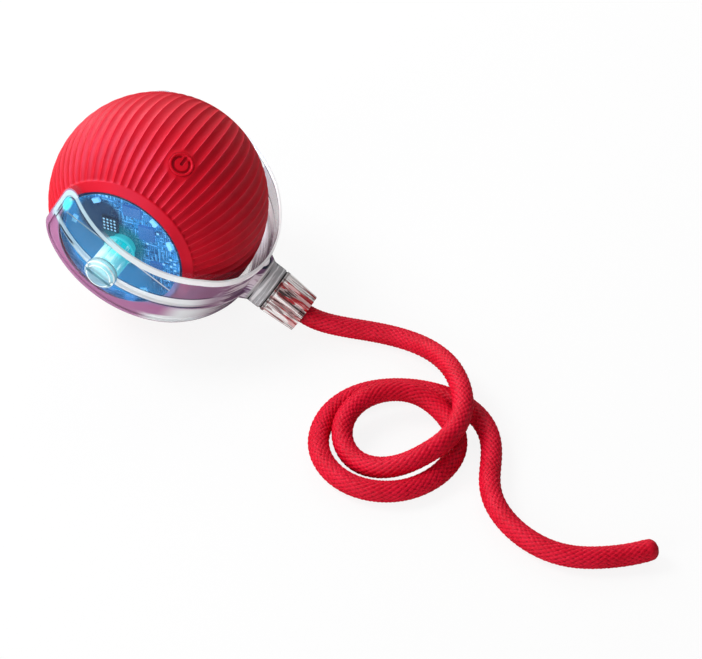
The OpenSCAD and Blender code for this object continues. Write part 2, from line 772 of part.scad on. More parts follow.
module rope() {
  sides = rope_sides;
  last = (rope_rings - 1) * sides;
  caps = rope_rings * sides;
  color([0.78, 0.10, 0.13]) polyhedron(
    points = concat(
      [for (i = [0:rope_rings - 1], k = [0:sides - 1]) ring_point(i, (k + 0.5) * 360 / sides)],
      [rope_line[0], rope_line[rope_rings - 1]]),
    faces = concat(
      [for (i = [0:sides:last - 1], k = [0:sides - 1]) [i + k, i + (k + 1) % sides, i + sides + k]],
      [for (i = [0:sides:last - 1], k = [0:sides - 1])
        [i + (k + 1) % sides, i + sides + (k + 1) % sides, i + sides + k]],
      [for (k = [0:sides - 1]) [caps, (k + 1) % sides, k]],
      [for (k = [0:sides - 1]) [caps + 1, last + k, last + (k + 1) % sides]]));
}

sleeve();
left_shell();
right_shell();
left_window();
right_window();
left_bushing();
right_bushing();
control_board();
light_board();
control_chips();
led_matrix();
board_leds();
usb_socket();
chassis();
battery();
motor();
motor_shaft();
motor_pinion();
drive_gear();
shell_screws();
switch_board();
tact_switch();
power_button();
yoke();
left_pivot_pin();
right_pivot_pin();
left_pivot_cap();
right_pivot_cap();
rope_ferrule();
rope_collet();
collar_seal();
collar_nut();
rope();
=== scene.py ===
"""Looks of a self-rolling pet toy: ribbed silicone ball, lit core, clear yoke and braided rope tail."""
import math

import bpy
import numpy as np
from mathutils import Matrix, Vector


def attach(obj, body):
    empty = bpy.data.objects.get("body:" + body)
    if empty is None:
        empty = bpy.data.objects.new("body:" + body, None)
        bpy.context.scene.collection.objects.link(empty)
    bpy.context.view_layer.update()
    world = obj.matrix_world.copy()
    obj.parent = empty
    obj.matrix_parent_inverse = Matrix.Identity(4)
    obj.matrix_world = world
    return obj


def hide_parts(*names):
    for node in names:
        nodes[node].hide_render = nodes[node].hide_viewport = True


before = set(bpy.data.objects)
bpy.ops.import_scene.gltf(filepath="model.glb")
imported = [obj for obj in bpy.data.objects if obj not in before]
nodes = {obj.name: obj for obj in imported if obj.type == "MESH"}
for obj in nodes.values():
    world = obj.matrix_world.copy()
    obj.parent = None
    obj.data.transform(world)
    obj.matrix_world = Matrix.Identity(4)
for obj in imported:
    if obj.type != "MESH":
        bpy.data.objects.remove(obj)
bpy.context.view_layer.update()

# Sizes in the frame of the solids: millimetres, and degrees from the ball's pole for the angles of the sleeve
MM = 0.001
BALL_R = 40.0
SLEEVE_IN = 37.4
RIM_ANGLE, INNER_RIM, RIB_START = 39.81, 42.3, 45.3
RIBS = 64
RIB_TURN = math.radians(2.9)
FLUTE = 0.5
WINDOW_R, WINDOW_FACE, LIT_R = 24.57, 29.7, 23.3
PIN_R = 5.4
LENS_PITCH, LENS_CORNER = 1.407, (-4.545, 8.475)
YOKE_BOW, YOKE_OUT = 1.8, 43.2
STRAP_HALF, STRAP_REACH, STRAP_CORNER = 14.3, 27.8, 6.0
TAPER_FROM, TAPER = 30.0, 0.167
BEAD_W = 2.0
NECK_DROP = math.radians(30)
NECK_FROM, SEAL_AT, NUT_FROM = 45.4, 52.5, 53.4
NUT_END_R = 7.6
BUTTON_LEAN, BUTTON_TURN = math.radians(34.8), math.radians(-36.7)
BUTTON_R, BUTTON_FACE, STEM_R, HOLE_R = 4.4, 39.72, 1.5, 4.55
ROPE_D, ROPE_FROM = 7.6, 46.0

# How far the lit window seems to shift along X and Z, seen from the camera, per millimetre that the strap is before it
VIEW_SHIFT = (0.45, 0.996)
BLACK = (0, 0, 0, 1)

BALL_AT = np.array([0.0, 0.0, BALL_R])
NECK_WAY = np.array([math.cos(NECK_DROP), 0.0, -math.sin(NECK_DROP)])
STRAP_UP = np.array([math.sin(NECK_DROP), 0.0, math.cos(NECK_DROP)])
BUTTON_WAY = np.array([
    math.sin(BUTTON_LEAN) * math.cos(BUTTON_TURN),
    math.sin(BUTTON_LEAN) * math.sin(BUTTON_TURN),
    math.cos(BUTTON_LEAN)])


def unit(v):
    return v / np.linalg.norm(v, axis=-1, keepdims=True)


BUTTON_UP = unit(np.array([0.0, 1.0, 0.0]) - BUTTON_WAY[1] * BUTTON_WAY)
BUTTON_SIDE = np.cross(BUTTON_UP, BUTTON_WAY)


def smooth(low, high, x):
    """0 below low, 1 above high, with a cubic ease between them."""
    t = np.clip((x - low) / (high - low), 0, 1)
    return t * t * (3 - 2 * t)


# Meshes

def quads(rows, columns, close_rows=False, close_columns=False):
    """Corner numbers of the quads of a grid of points, row by row; a closed way joins its last line to its first."""
    r = np.arange(rows if close_rows else rows - 1)[:, None]
    c = np.arange(columns if close_columns else columns - 1)[None, :]
    r2, c2 = (r + 1) % rows, (c + 1) % columns
    return np.stack([r * columns + c, r * columns + c2, r2 * columns + c2, r2 * columns + c], -1).reshape(-1, 4)


def piece(name, points, faces, material, body, slot, stands_for):
    """Object with those points, in mm, and faces, smooth, that rides on a body and takes the given finish; the slot is
    not used.
    """
    mesh = bpy.data.meshes.new(name)
    rows = [f for part in faces for f in np.asarray(part).tolist()]
    mesh.from_pydata((np.asarray(points).reshape(-1, 3) * MM).tolist(), [], rows)
    mesh.polygons.foreach_set("use_smooth", np.ones(len(mesh.polygons), bool))
    mesh.update()
    mesh.materials.append(material)
    made = bpy.data.objects.new(name, mesh)
    bpy.context.scene.collection.objects.link(made)
    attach(made, body)
    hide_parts(*stands_for)
    return made


def mark(obj, name, values):
    """Gives each point of the piece a number under that name, for its finish."""
    obj.data.attributes.new(name, "FLOAT", "POINT").data.foreach_set("value", values.astype(np.float32))


def sharpen(obj, degrees):
    """Edges that bend more than that are drawn sharp."""
    with bpy.context.temp_override(object=obj, active_object=obj, selected_editable_objects=[obj]):
        bpy.ops.object.shade_smooth_by_angle(angle=math.radians(degrees))


# Shader nodes

class Wire:
    """A shader socket: operators add Math nodes, and add() makes any other node of the same tree."""

    def __init__(self, tree, socket):
        self.tree, self.socket = tree, socket

    def add(self, kind, settings=None, sockets=None, out=0):
        """A node of that kind: its settings are set, then its sockets are given values or wires; gives one output."""
        node = self.tree.nodes.new(kind)
        for name, value in (settings or {}).items():
            setattr(node, name, value)
        for key, value in (sockets or {}).items():
            plug(node.inputs[key], value)
        return Wire(self.tree, node.outputs[out])

    def math(self, operation, *values):
        return self.add("ShaderNodeMath", {"operation": operation}, dict(enumerate(values)))

    def __add__(self, other):
        return self.math("ADD", self, other)

    def __sub__(self, other):
        return self.math("SUBTRACT", self, other)

    def __mul__(self, other):
        return self.math("MULTIPLY", self, other)

    def __truediv__(self, other):
        return self.math("DIVIDE", self, other)

    def __pow__(self, other):
        return self.math("POWER", self, other)

    def __lt__(self, other):
        return self.math("LESS_THAN", self, other)

    def __gt__(self, other):
        return self.math("GREATER_THAN", self, other)

    def __rsub__(self, other):
        return self.math("SUBTRACT", other, self)

    def __abs__(self):
        return self.math("ABSOLUTE", self)

    def __neg__(self):
        return self.math("SUBTRACT", 0.0, self)

    __radd__, __rmul__ = __add__, __mul__

    def ease(self, low, high):
        """0 at low, 1 at high, smooth between."""
        return self.add("ShaderNodeMapRange", {"interpolation_type": "SMOOTHSTEP"}, {0: self, 1: low, 2: high})

    def blend(self, first, second):
        """Colour between first and second, by this wire; the numbers are those of a Mix node's colour sockets."""
        return self.add("ShaderNodeMix", {"data_type": "RGBA"}, {0: self, 6: first, 7: second}, 2)

    def vector(self, operation, *others, out="Vector"):
        """Vector Math on this wire and the others."""
        return self.add("ShaderNodeVectorMath", {"operation": operation}, dict(enumerate((self, *others))), out)

    def join(self, y, z=0.0):
        """Vector with this wire as its first part."""
        return self.add("ShaderNodeCombineXYZ", None, {0: self, 1: y, 2: z})

    def axis(self, number):
        return self.add("ShaderNodeSeparateXYZ", None, {0: self}, number)

    def along(self, direction):
        """Distance along a direction, in the units of this vector."""
        return self.vector("DOT_PRODUCT", tuple(direction), out="Value")

    def top(self, other):
        return self.math("MAXIMUM", self, other)

    def below(self, other):
        return self.math("MINIMUM", self, other)

    def hypot(self, other):
        """Root of the sum of the two squares."""
        return (self ** 2 + other ** 2) ** 0.5

    def noise(self, scale, detail=3.0, roughness=0.5):
        return self.add("ShaderNodeTexNoise", None, {
            "Vector": self, "Scale": scale, "Detail": detail, "Roughness": roughness})

    def bump(self, strength, distance):
        """Normal bent by this height."""
        return self.add("ShaderNodeBump", None, {"Strength": strength, "Distance": distance, "Height": self})


def plug(target, value):
    """Gives a socket a wire or a fixed value."""
    if isinstance(value, Wire):
        value.tree.links.new(value.socket, target)
    else:
        target.default_value = value


def fill(shader, sockets):
    """Gives a shader's sockets their wires or values; an underscore stands for a space in a socket's name."""
    for key, value in sockets.items():
        plug(shader.inputs[key.replace("_", " ")], value)


def grey(level):
    return (level, level, level, 1)


class Finish:
    """A material with one Principled shader; mm is the place on the piece in millimetres from the ball's centre."""

    def __init__(self, name, **constants):
        self.material = bpy.data.materials.new(name)
        self.material.use_nodes = True
        self.tree = self.material.node_tree
        self.shader = self.tree.nodes["Principled BSDF"]
        self.set(**constants)
        self.place = Wire(self.tree, self.tree.nodes.new("ShaderNodeTexCoord").outputs["Object"])
        self.mm = self.place.add("ShaderNodeMapping", None, {
            "Vector": self.place, "Location": (0, 0, -BALL_R), "Scale": (1 / MM,) * 3})

    def set(self, **sockets):
        fill(self.shader, sockets)

    def own(self, name):
        """The number that the piece's points have under that name."""
        return self.place.add("ShaderNodeAttribute", {"attribute_name": name}, out="Fac")

    def across(self):
        """Distance from the ball's axis of roll."""
        return self.mm.axis(0).hypot(self.mm.axis(2))

    def second(self, factor, **sockets):
        """Mixes in a second Principled shader by a factor."""
        other = self.tree.nodes.new("ShaderNodeBsdfPrincipled")
        fill(other, sockets)
        mixed = self.place.add("ShaderNodeMixShader", None, {
            0: factor, 1: Wire(self.tree, self.shader.outputs[0]), 2: Wire(self.tree, other.outputs[0])})
        plug(self.tree.nodes["Material Output"].inputs["Surface"], mixed)


def silicone(name, colour):
    """Matte moulded silicone: faint mottling, fine grain, painted shade where the mesh says that it is sunk and a pale
    painted highlight on the ridges, where that number is below nought."""
    f = Finish(name, Specular_IOR_Level=0.44, Specular_Tint=(0.9, 0.45, 0.85, 1))
    mottle = f.place.noise(70, 4)
    grain = f.place.noise(1900, 2)
    sunk = f.own("sunk")
    dark, light = (tuple(c * k for c in colour) + (1,) for k in (0.93, 1.07))
    skin = mottle.ease(0.3, 0.7).blend(dark, light)
    # Painted highlight: pale pink where sunk is below nought (the ridges); painted shade: darker where it is above
    # nought
    skin = (-sunk).ease(0.0, 0.3).blend(skin, (0.90, 0.05, 0.095, 1))
    f.set(Base_Color=sunk.top(0.0).blend(skin, tuple(c * 0.2 for c in colour) + (1,)),
          Roughness=0.44 + grain * 0.12,
          Normal=grain.bump(0.12, 0.00012))
    return f.material


def streaks(f, along, round_about, detail=3.0):
    """Noise in the neck's own ways, with a step per millimetre along the neck and one for both ways across it."""
    spot = (f.mm.along(NECK_WAY) * along).join(f.mm.along(STRAP_UP) * round_about, f.mm.axis(1) * round_about)
    return spot.noise(1.0, detail, 0.6)


def facing(f, blend=0.4):
    """0 where the surface looks at the eye, 1 at its outline."""
    return f.place.add("ShaderNodeLayerWeight", None, {"Blend": blend}, "Facing")


def yoke_plastic(name):
    """Clear strap: almost unseen over the window; past it, along its lower edge and towards the neck a painted mauve
    haze for the pale surroundings mirrored in it and the lamps' blue light; painted highlights: a white rail along its
    upper edge, a broad white line along its middle, thin bright lines on the webs and a white gleam low down, with
    painted dark shade lines beside them; painted cyan glow at its end; painted light and dark streaks where it runs
    into the neck, which is grey with painted light and dark rings."""
    f = Finish(name, Roughness=0.16, Specular_IOR_Level=0.4, Emission_Strength=1.0)
    run, across = f.mm.along(NECK_WAY), f.mm.along(STRAP_UP)
    side = abs(f.mm.axis(1))
    bulge = f.mm.vector("DISTANCE", tuple(YOKE_BOW * NECK_WAY), out="Value") - YOKE_OUT
    skin = bulge.ease(-0.2, -0.05)
    past_end = (STRAP_CORNER - STRAP_REACH - run).top(0.0)
    past_side = (abs(across) + (run - TAPER_FROM).top(0.0) * TAPER + (STRAP_CORNER - STRAP_HALF)).top(0.0)
    # Distance from the strap's outline, below nought inside it
    edge = past_end.hypot(past_side) - STRAP_CORNER
    upper = across.ease(-4.0, 1.0)
    inside = edge.ease(-0.12, -0.3)
    wide = edge + BEAD_W + run.ease(4.0, -14.0) * 0.8 + run.ease(4.0, 20.0) * 0.3
    # Painted highlight: the white upper rail; painted shade: a dark line along its foot
    rail = wide.ease(-0.05, 0.1) * upper * bulge.ease(-0.1, 0.05)
    rail = rail * (1.0 - run.ease(0.0, -10.0) * edge.ease(-0.8, -0.5))
    foot = (abs(wide + 0.2) < 0.2) * skin * upper
    # Distance from the middle line, which leans a little and widens towards the neck
    line = (across - 0.9 - run * 0.05) / (1.0 + (run - 12.0).top(0.0) * 0.015)
    # Painted highlight: a broad white line along the middle; painted shade: dark lines beside it and a dark slit at the
    # tip
    middle = abs(line).ease(1.5, 1.1) * skin * run.ease(-26.5, -25.0) * run.ease(41.0, 30.0)
    shade_line = (abs(abs(line) - 1.6) < 0.17) * skin * run.ease(-22.0, -18.0) * run.ease(40.0, 33.0)
    tip_shade_line = abs(line - 0.2).ease(0.5, 0.25) * run.ease(-24.0, -21.0) * run.ease(-12.5, -15.0) * skin
    dark = (foot + shade_line + tip_shade_line).below(1.0)
    # The painted haze, which stands for the pale surroundings mirrored in the strap and the lamps' blue light, leaves
    # out what the camera sees the window through
    before = side - WINDOW_FACE
    seen_from_axis = (f.mm.axis(0) - before * VIEW_SHIFT[0]).hypot(f.mm.axis(2) - before * VIEW_SHIFT[1])
    mirrored_haze = seen_from_axis.ease(LIT_R - 0.2, LIT_R + 0.5) * skin * inside
    # Painted mirrored haze along the lower edge as well
    low = edge.ease(-6.0, -3.0).top(mirrored_haze) * (1.0 - upper) * run.ease(43.0, 31.0)
    # Painted highlight low down on the lower bead
    gleam = (edge + (run - 22.0).top(0.0) * 0.25).ease(-5.6, -3.6) * edge.ease(-0.2, -1.0)
    gleam = gleam * run.ease(17.0, 24.0) * run.ease(45.0, 33.0) * (1.0 - upper)
    # Painted light and dark streaks of reflection where the strap runs into the neck
    root = run.ease(35.0, 43.0) * side.ease(28.0, 18.0)
    streak = (run * 0.1).join(across * 0.55, f.mm.axis(1) * 0.05).noise(1.0, 3, 0.6)
    # Painted highlights: thin bright lines on the webs
    web = (side < 31.1) * (abs(across) < 0.32) * (run < 24.0)
    # Painted cyan glow at the strap's end
    caught = ((run + 24.0) ** 2 + (across - 7.0) ** 2 * 0.35) ** 0.5
    caught = caught.ease(2.2, 0.8) * (run < -21.0)
    white = (rail + middle + gleam + web).below(1.0)
    # Painted mirrored haze towards the neck
    neck_mirrored_haze = run.ease(26.0, 34.0) * run.ease(45.0, 40.0) * skin * inside
    tint = mirrored_haze.blend((0.45, 0.72, 0.95, 1), (0.46, 0.34, 0.58, 1))
    tint = low.blend(inside.blend((0.75, 0.72, 0.76, 1), tint), (0.46, 0.19, 0.37, 1))
    tint = neck_mirrored_haze.blend(tint, (0.36, 0.19, 0.33, 1))
    tint = (root * 0.8).blend(tint, streak.ease(0.45, 0.55).blend((0.15, 0.05, 0.13, 1), (0.96, 0.90, 0.96, 1)))
    away = run.ease(-16.0, 8.0)
    clear = away.blend((0.50, 0.68, 0.76, 1), (0.84, 0.88, 0.90, 1))
    tint = (white * (1.0 - root * 0.4)).blend(tint, clear)
    tint = dark.blend(tint, (0.02, 0.035, 0.07, 1))
    far = f.mm.axis(1).ease(0.0, 14.0)
    cover = mirrored_haze * 0.47 + low * 0.42 + neck_mirrored_haze * (1.0 - far) * 0.32 + root * skin * 0.45
    cover = cover + inside.top(far) * (0.03 + facing(f) ** 3 * 0.10)
    cover = cover + white * (0.68 + away * 0.22) + dark * 0.6 + caught * 0.6
    # Painted glow on the highlights, stronger on the far side
    bright = white * (run.ease(0.0, 16.0) * 0.2 + far) + rail * run.ease(16.0, 27.0) * 0.3
    f.set(Base_Color=caught.blend(tint, (0.1, 0.85, 0.9, 1)),
          Alpha=cover.below(0.97),
          Emission_Color=caught.blend(bright.blend(BLACK, grey(0.45)), (0.02, 0.62, 0.68, 1)),
          Normal=(f.place.noise(160, 2) * 0.5).bump(0.2, 0.0002))
    # Painted reflections and shade: dark, grey and white rings on the neck
    rings = streaks(f, 0.62, 0.035)
    glass = rings.ease(0.35, 0.45).blend((0.05, 0.05, 0.055, 1), (0.48, 0.48, 0.50, 1))
    glass = rings.ease(0.53, 0.60).blend(glass, (0.90, 0.90, 0.92, 1))
    f.second(run.ease(NECK_FROM, NECK_FROM + 1.0), Base_Color=glass, Roughness=0.1, Specular_IOR_Level=0.6, Alpha=0.92,
             Normal=rings.bump(0.3, 0.0003))
    return f.material


def nut_clear(name):
    """Clear fluted nut: long painted white highlights and dark shade streaks along it, painted red streaks for the rope
    seen through it, a painted dark outline and a dark line near its inner end."""
    f = Finish(name, Roughness=0.08, Specular_IOR_Level=0.6, Emission_Strength=1.0)
    tone = streaks(f, 0.03, 0.42) + streaks(f, 0.08, 1.3) * 0.3 - 0.15
    end = abs(f.mm.along(NECK_WAY) - NUT_FROM).ease(0.5, 0.2) * 0.7
    # Painted highlights (white streaks), painted shade (dark streaks and the dark outline), painted red streaks for the
    # rope seen through
    white = tone.ease(0.47, 0.52)
    dark = tone.ease(0.42, 0.38).top(facing(f, 0.5) ** 1.8 * 0.85).top(end)
    red = streaks(f, 0.05, 0.30, 2.0).ease(0.52, 0.56)
    base = red.blend((0.54, 0.37, 0.37, 1), (0.52, 0.006, 0.014, 1))
    base = dark.blend((white * (1.0 - red * 0.75)).blend(base, (0.97, 0.96, 0.95, 1)), (0.03, 0.008, 0.01, 1))
    f.set(Base_Color=base, Alpha=0.5 + white.top(dark).top(red) * 0.42,
          Emission_Color=(white * (1.0 - dark)).blend(BLACK, (0.20, 0.19, 0.19, 1)),
          Normal=tone.bump(0.3, 0.0003))
    return f.material


def cap_clear(name):
    """Clear cap: hardly covers what is behind it, with painted pale highlight lines along its edges, painted dark shade
    lines along its slot and round its foot, and a faint painted cyan glow."""
    f = Finish(name, Roughness=0.12, Specular_IOR_Level=0.5)
    out, wide, across = abs(f.mm.axis(1)), f.across(), abs(f.mm.along(STRAP_UP))
    foot, shoulder, top = 42.75, 44.5, 45.4
    # Painted highlight lines along the edges; painted shade lines along the slot and round the foot
    rim = abs(out - shoulder).ease(0.4, 0.15) * (wide > 5.0) + (out > top) * abs(wide - 4.6).ease(0.35, 0.1)
    slot = abs(across - 0.95).ease(0.25, 0.1) * (out > shoulder) + (out < foot) * (wide > 5.0)
    marks = f.place.noise(260, 2)
    base = rim.below(1.0).blend((0.55, 0.80, 0.88, 1), (0.95, 0.98, 0.98, 1))
    cover = 0.30 + marks * 0.1 + rim * 0.6 + slot * 0.4 + facing(f) ** 2 * 0.25
    f.set(Base_Color=slot.below(1.0).blend(base, (0.10, 0.22, 0.28, 1)), Alpha=cover.below(0.95),
          Emission_Color=(0.35, 0.60, 0.64, 1), Emission_Strength=0.16, Normal=marks.bump(0.2, 0.0002))
    return f.material


def window_pane(name):
    """Clear plate: a painted shadow line along the upper half of its edge, painted pale glints along the rest of it,
    and a skirt painted blue with a glow, as the lamps light it."""
    f = Finish(name, Roughness=0.08, Specular_IOR_Level=0.5)
    across = f.across()
    face = abs(f.mm.axis(1)) > WINDOW_FACE - 0.7
    # Painted shadow of the sleeve's rim along the upper half of the edge, painted glints along the rest, painted blue
    # glow on the skirt
    shaded = (f.mm.axis(0) * 0.5 + f.mm.axis(2)).ease(-6.0, 4.0)
    dark = across.ease(WINDOW_R - 0.8, WINDOW_R - 0.55) * face * shaded
    pale = across.ease(WINDOW_R - 0.8, WINDOW_R - 0.6) * f.place.noise(300, 1).ease(0.4, 0.6) * face * (1.0 - dark)
    skirt = (across > LIT_R) * (1.0 - face)
    shine = f.place.noise(200, 2).ease(0.35, 0.65)
    f.set(Base_Color=skirt.blend(dark.blend((0.75, 0.92, 1.0, 1), (0.01, 0.018, 0.035, 1)), (0.10, 0.34, 0.66, 1)),
          Alpha=0.025 + dark * 0.85 + pale * 0.45 + skirt * (0.55 + shine * 0.25),
          Emission_Color=(skirt * shine).blend(BLACK, (0.03, 0.14, 0.32, 1)), Emission_Strength=1.0,
          Normal=f.place.noise(420, 2).bump(0.05, 0.0001))
    return f.material


def lit_board(name, dark_spot):
    """Blue circuit board glowing with painted light as though lit by its lamps: traces, pads and fine lines in random
    cells, plain towards one side, with a dark block and a painted teal shade round the hub."""
    f = Finish(name, Roughness=0.4, Specular_IOR_Level=0.3, Emission_Strength=0.75)
    x, z = f.mm.axis(0), f.mm.axis(2)

    def cells(pitch, seed):
        """Squares of that pitch: a random number for each, and how far a place is from its middle both ways."""
        flat = (x / pitch + seed).join(z / pitch + seed)
        chance = flat.add("ShaderNodeTexWhiteNoise", {"noise_dimensions": "2D"}, {"Vector": flat.vector("FLOOR")})
        inner = flat.vector("FRACTION")
        return chance, abs(inner.axis(0) - 0.5), abs(inner.axis(1) - 0.5)

    chance, u, v = cells(1.5, 3.0)
    upright = (chance < 0.3) * (u < 0.13)
    level = (chance > 0.3) * (chance < 0.52) * (v < 0.13)
    pad = (chance > 0.9) * (u < 0.33) * (v < 0.3)
    fine, fu, fv = cells(0.8, 11.0)
    fine_line = (fine < 0.4) * (fu < 0.2) + (fine > 0.75) * (fv < 0.2)
    dark_cell = (fine > 0.4) * (fine < 0.55)
    busy = (x * 0.75 + z * 0.66).ease(-7.0, 3.0)
    shade = f.place.noise(110, 3).ease(0.3, 0.72)
    base = shade.blend((0.006, 0.070, 0.22, 1), (0.012, 0.175, 0.46, 1))
    base = (dark_cell * busy * 0.6).blend(base, (0.006, 0.022, 0.10, 1))
    base = (fine_line * busy * 0.45).blend(base, (0.07, 0.33, 0.72, 1))
    base = ((upright + level) * busy * 0.7).blend(base, (0.12, 0.46, 0.80, 1))
    base = (pad * busy * 0.8).blend(base, (0.26, 0.60, 0.84, 1))
    base = (busy * -0.85 + 0.85).blend(base, (0.006, 0.190, 0.46, 1))
    base = (f.mm.vector("DISTANCE", dark_spot, out="Value").ease(10.5, 7.5) * 0.9).blend(base, (0.006, 0.016, 0.055, 1))
    # Painted teal shade round the hub
    base = (f.across().ease(10.5, 6.5) * 0.85).blend(base, (0.003, 0.105, 0.14, 1))
    # The board's whole colour also glows: painted light
    f.set(Base_Color=base, Emission_Color=base, Normal=(upright + level + pad).bump(0.3, 0.0001))
    return f.material


def light_guide(name):
    """Clear pin lit from its inner end: deep cyan there, a bright band half way, pale towards the yoke; a painted white
    highlight on one flank, painted teal shade on the other, painted light and dark streaks of reflection."""
    f = Finish(name, Roughness=0.12, Specular_IOR_Level=0.5, Emission_Strength=0.9)
    out = abs(f.mm.axis(1))
    flank = f.mm.along((0.911, 0, -0.411)) / PIN_R
    streak = f.mm.add("ShaderNodeMapping", None, {"Vector": f.mm, "Scale": (0.9, 0.12, 0.9)}).noise(0.9, 2)
    glow = out.ease(39.0, 32.0)
    light = glow.blend((0.20, 0.62, 0.64, 1), (0.0, 0.46, 0.50, 1))
    light = (abs(out - 36.0).ease(2.6, 1.0) * 0.9).blend(light, (0.03, 0.84, 0.80, 1))
    # Painted highlight on the flank towards the upper left, painted teal shade on the other flank, painted light and
    # dark streaks
    light = (flank.ease(-0.3, -0.7) * (1.0 - glow * 0.6)).blend(light, (0.72, 0.84, 0.83, 1))
    light = (flank.ease(0.2, 0.6) * 0.85).blend(light, (0.01, 0.28, 0.36, 1))
    light = (streak.ease(0.56, 0.66) * 0.7).blend(light, (0.75, 0.95, 0.95, 1))
    light = (streak.ease(0.40, 0.34) * 0.7).blend(light, (0.01, 0.26, 0.30, 1))
    f.set(Base_Color=glow.blend((0.35, 0.62, 0.66, 1), (0.02, 0.30, 0.34, 1)), Emission_Color=light,
          Alpha=0.74 + streak * 0.25)
    return f.material


def moulded(name, colour, rough=0.45, scale=900, emission=None, metal=0.0):
    """Plain moulded or turned surface with fine grain and slight mottling."""
    f = Finish(name, Specular_IOR_Level=0.5, Metallic=metal)
    grain = f.place.noise(scale, 3)
    mottle = f.place.noise(scale / 14, 3).ease(0.3, 0.7)
    dark, light = (tuple(min(1, c * k) for c in colour) + (1,) for k in (0.85, 1.1))
    f.set(Base_Color=mottle.blend(dark, light), Roughness=rough - 0.08 + grain * 0.16,
          Normal=grain.bump(0.1, 0.0001))
    if emission:
        f.set(Emission_Color=emission[0] + (1,), Emission_Strength=emission[1])
    return f.material


def lamp_grid(name):
    """Black lamp block with four rows of four pale lenses."""
    f = Finish(name, Roughness=0.3, Emission_Strength=0.8)
    x, z = (f.mm.axis(way) - corner for way, corner in zip((0, 2), LENS_CORNER))
    cell = (x / LENS_PITCH).join(z / LENS_PITCH).vector("FRACTION")
    middle = cell.vector("DISTANCE", (0.5, 0.5, 0), out="Value")
    lens = middle.ease(0.36, 0.26) * (abs(f.mm.axis(1)) > 27.55)
    f.set(Base_Color=lens.blend((0.008, 0.016, 0.045, 1), (0.30, 0.52, 0.70, 1)),
          Emission_Color=lens.blend((0.003, 0.012, 0.04, 1), (0.14, 0.32, 0.48, 1)),
          Normal=f.place.noise(800, 2).bump(0.1, 0.0001))
    return f.material


def seal_ring(name):
    """Dark ring with paler shoulders."""
    f = Finish(name, Roughness=0.5, Specular_IOR_Level=0.4)
    middle = abs(f.mm.along(NECK_WAY) - SEAL_AT).ease(0.3, 0.16)
    grain = f.place.noise(900, 2)
    f.set(Base_Color=middle.blend((0.38, 0.36, 0.37, 1), (0.01, 0.01, 0.011, 1)), Normal=grain.bump(0.1, 0.0001))
    return f.material


def braided(name):
    """Braided cord: painted shade darkens the gaps between the strands, by their height; fine yarn runs along them."""
    f = Finish(name, Specular_IOR_Level=0.25, Specular_Tint=(1.0, 0.6, 0.75, 1))
    height = f.own("strand")
    yarn = f.place.noise(2600, 3)
    mottle = f.place.noise(120, 2)
    crest = mottle.ease(0.3, 0.7).blend((0.66, 0.002, 0.020, 1), (0.78, 0.005, 0.032, 1))
    # Painted shade in the gaps between the strands
    f.set(Base_Color=height.ease(0.05, 0.75).blend((0.29, 0.000, 0.008, 1), crest),
          Roughness=0.38 + yarn * 0.25, Normal=yarn.bump(0.35, 0.00025))
    return f.material


red_silicone = silicone("red_silicone", (0.68, 0.001, 0.009))
braid = braided("braided_cord")
finishes = {
    "left_shell": moulded("core_plastic", (0.012, 0.013, 0.016)),
    "chassis": moulded("chassis_plastic", (0.03, 0.031, 0.034)),
    "left_window": window_pane("window_clear"),
    "left_bushing": moulded("lit_acetal", (0.10, 0.45, 0.50), emission=((0.01, 0.36, 0.42), 0.8)),
    "control_board": lit_board("control_board", (-8.6, -26.7, 9.6)),
    "light_board": lit_board("light_board", (8.6, 26.7, 9.6)),
    "control_chips": moulded("chip_lit", (0.03, 0.13, 0.36), 0.4, 1500, emission=((0.015, 0.09, 0.30), 0.8)),
    "led_matrix": lamp_grid("lamp_grid"),
    "board_leds": moulded("lamp_lens", (0.30, 0.65, 0.90), 0.2, emission=((0.12, 0.45, 0.75), 0.8)),
    "usb_socket": moulded("socket_steel", (0.62, 0.63, 0.65), 0.3, 1600, metal=1.0),
    "battery": moulded("battery_wrap", (0.02, 0.10, 0.33), 0.35),
    "motor": moulded("motor_can", (0.60, 0.61, 0.62), 0.32, 1200, metal=1.0),
    "motor_shaft": moulded("shaft_steel", (0.55, 0.56, 0.58), 0.25, 2000, metal=1.0),
    "drive_gear": moulded("gear_acetal", (0.80, 0.77, 0.66), 0.4),
    "switch_board": moulded("switch_board", (0.01, 0.10, 0.05), 0.4),
    "tact_switch": moulded("switch_body", (0.02, 0.02, 0.022), 0.4),
    "yoke": yoke_plastic("yoke_clear"),
    "left_pivot_pin": light_guide("light_guide"),
    "left_pivot_cap": cap_clear("cap_clear"),
    "rope_ferrule": moulded("crimped_aluminium", (0.78, 0.79, 0.80), 0.35, 1400, metal=1.0),
    "rope_collet": moulded("collet_silicone", (0.55, 0.004, 0.018), 0.5),
    "collar_seal": seal_ring("seal_rubber"),
    "collar_nut": nut_clear("collar_clear"),
}
same = {"right_shell": "left_shell", "right_window": "left_window", "right_bushing": "left_bushing",
        "motor_pinion": "drive_gear", "shell_screws": "motor_shaft", "right_pivot_pin": "left_pivot_pin",
        "right_pivot_cap": "left_pivot_cap"}
for name, like in same.items():
    finishes[name] = finishes[like]
for name, material in finishes.items():
    slots = nodes[name].data.materials
    slots.clear()
    slots.append(material)


# Silicone sleeve

